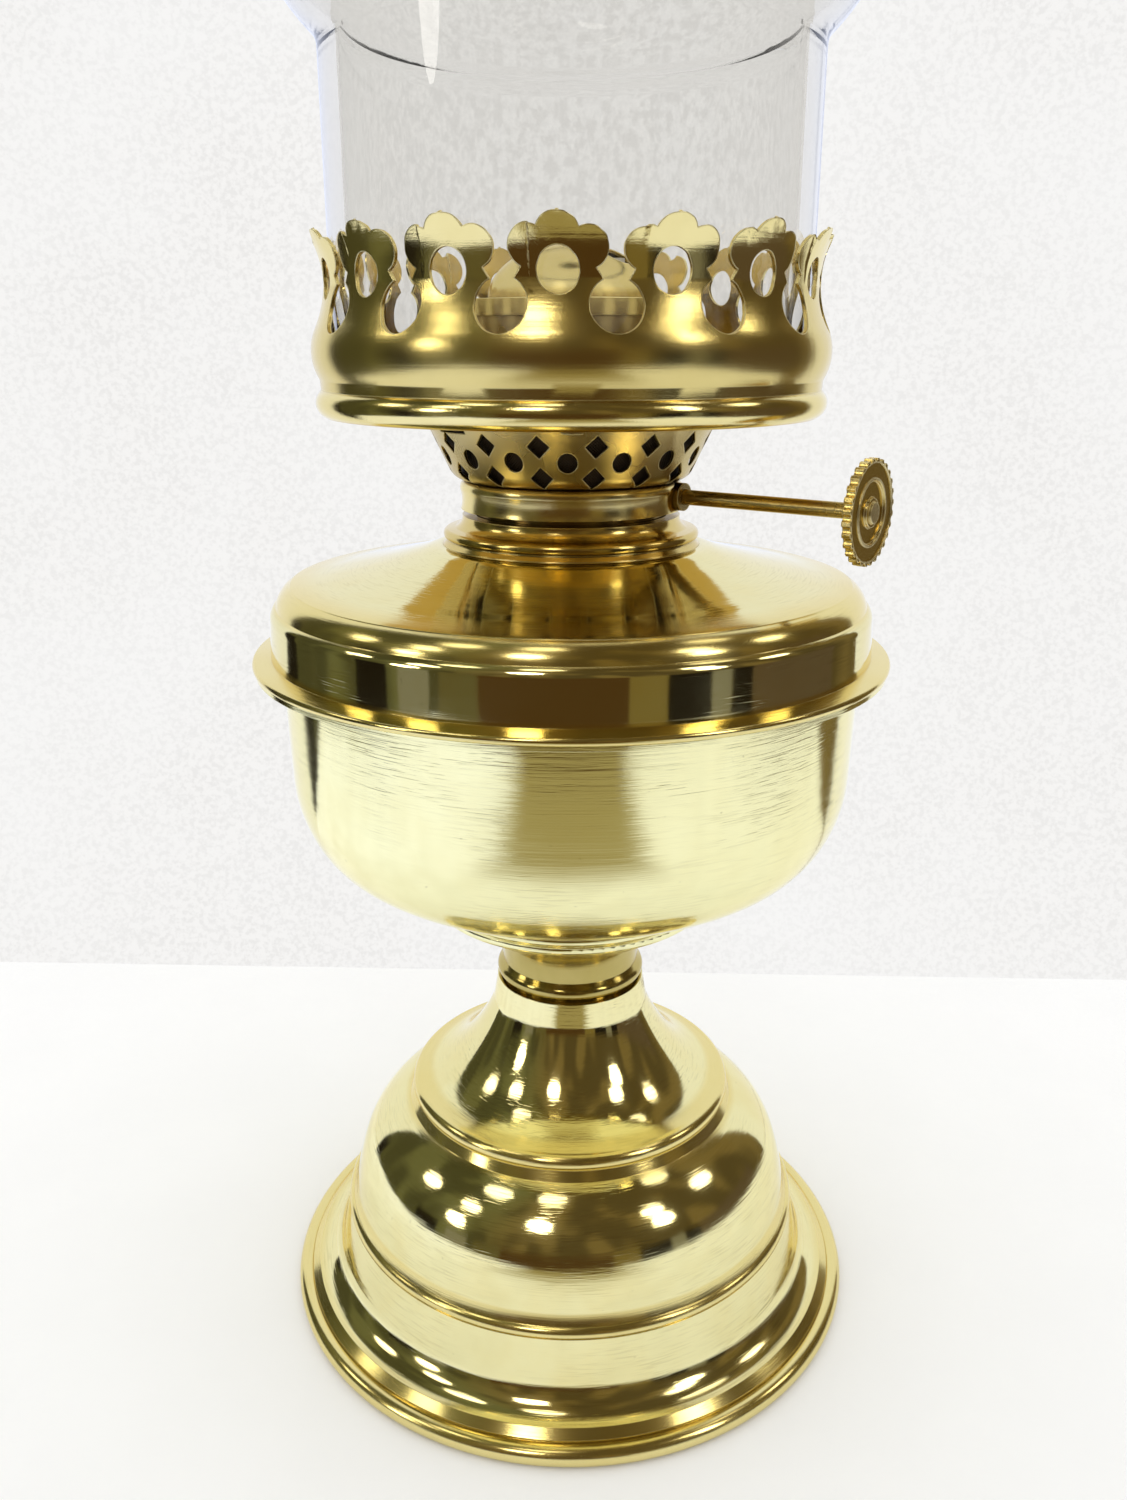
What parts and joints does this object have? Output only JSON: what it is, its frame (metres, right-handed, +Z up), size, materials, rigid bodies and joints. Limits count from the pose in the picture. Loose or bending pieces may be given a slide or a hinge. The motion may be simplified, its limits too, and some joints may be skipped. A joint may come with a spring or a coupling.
{
  "type": "oil lamp",
  "caption": "Spun brass table oil lamp: hollow foot, round tank, screw-in burner with pierced crown gallery, thumbwheel wick raiser and clear glass chimney.",
  "frame": {"origin": "centre of the circle on which the foot rests, on the table plane", "axes": "+Z up the lamp's axis, +X to the right and -Y towards the viewer, with the thumbwheel at the right front"},
  "size_m": [0.1074, 0.1074, 0.3846],
  "materials": {
    "foot_brass": "polished spun brass, faint spin lines, small dents",
    "bowl_brass": "satin brass with horizontal spin lines",
    "tank_brass": "polished spun brass",
    "crown_brass": "polished brass sheet with filed edges",
    "burner_brass": "brass dulled by heat and oil",
    "dome_brass": "pale heat-bleached brass",
    "spindle_brass": "handled brass, tarnished in the hollows",
    "steel": "dull zinc-plated steel",
    "cotton": "flat woven cotton, charred at its top edge",
    "clear_glass": "clear thick glass, polished"
  },
  "bodies": {
    "tank": {"foot": "foot_brass", "neck_ring": "foot_brass", "stem_stud": "steel", "stem_washer": "steel", "stem_nut": "steel", "bowl": "bowl_brass", "shoulder": "tank_brass", "tank_collar": "tank_brass"},
    "burner": {"burner_ring": "burner_brass", "burner_floor": "burner_brass", "basket": "burner_brass", "wick_tube": "burner_brass", "spindle_cage": "burner_brass", "spindle_bush": "burner_brass", "vent_tube": "burner_brass", "deck": "burner_brass", "draft_drum": "burner_brass", "gallery": "crown_brass", "gallery_rivets": "burner_brass"},
    "spindle": {"spindle": "spindle_brass", "spindle_clip": "steel", "spur_wheels": "burner_brass", "thumbwheel": "spindle_brass"},
    "wick": {"wick": "cotton"},
    "dome": {"flame_dome": "dome_brass"},
    "chimney": {"chimney": "clear_glass"}
  },
  "joints": [
    {"name": "burner_lift", "type": "slide", "parent": "tank", "child": "burner", "axis": [0, 0, 1], "range_m": [0, 0.07]},
    {"name": "spindle_turn", "type": "hinge", "parent": "burner", "child": "spindle", "pos_m": [0.00294, 0.00405, 0.1512], "axis": [0.809, -0.5878, 0], "range_deg": [-130, 80]},
    {"name": "wick_rise", "type": "slide", "parent": "burner", "child": "wick", "axis": [0, 0, 1], "range_m": [-0.0055, 0.009]},
    {"name": "dome_lift", "type": "slide", "parent": "burner", "child": "dome", "axis": [0, 0, 1], "range_m": [0, 0.012]},
    {"name": "chimney_lift", "type": "slide", "parent": "burner", "child": "chimney", "axis": [0, 0, 1], "range_m": [0, 0.06]}
  ],
  "couplings": [
    {"joint": "wick_rise", "follows": "spindle_turn", "m_per_rad": -0.0038}
  ]
}
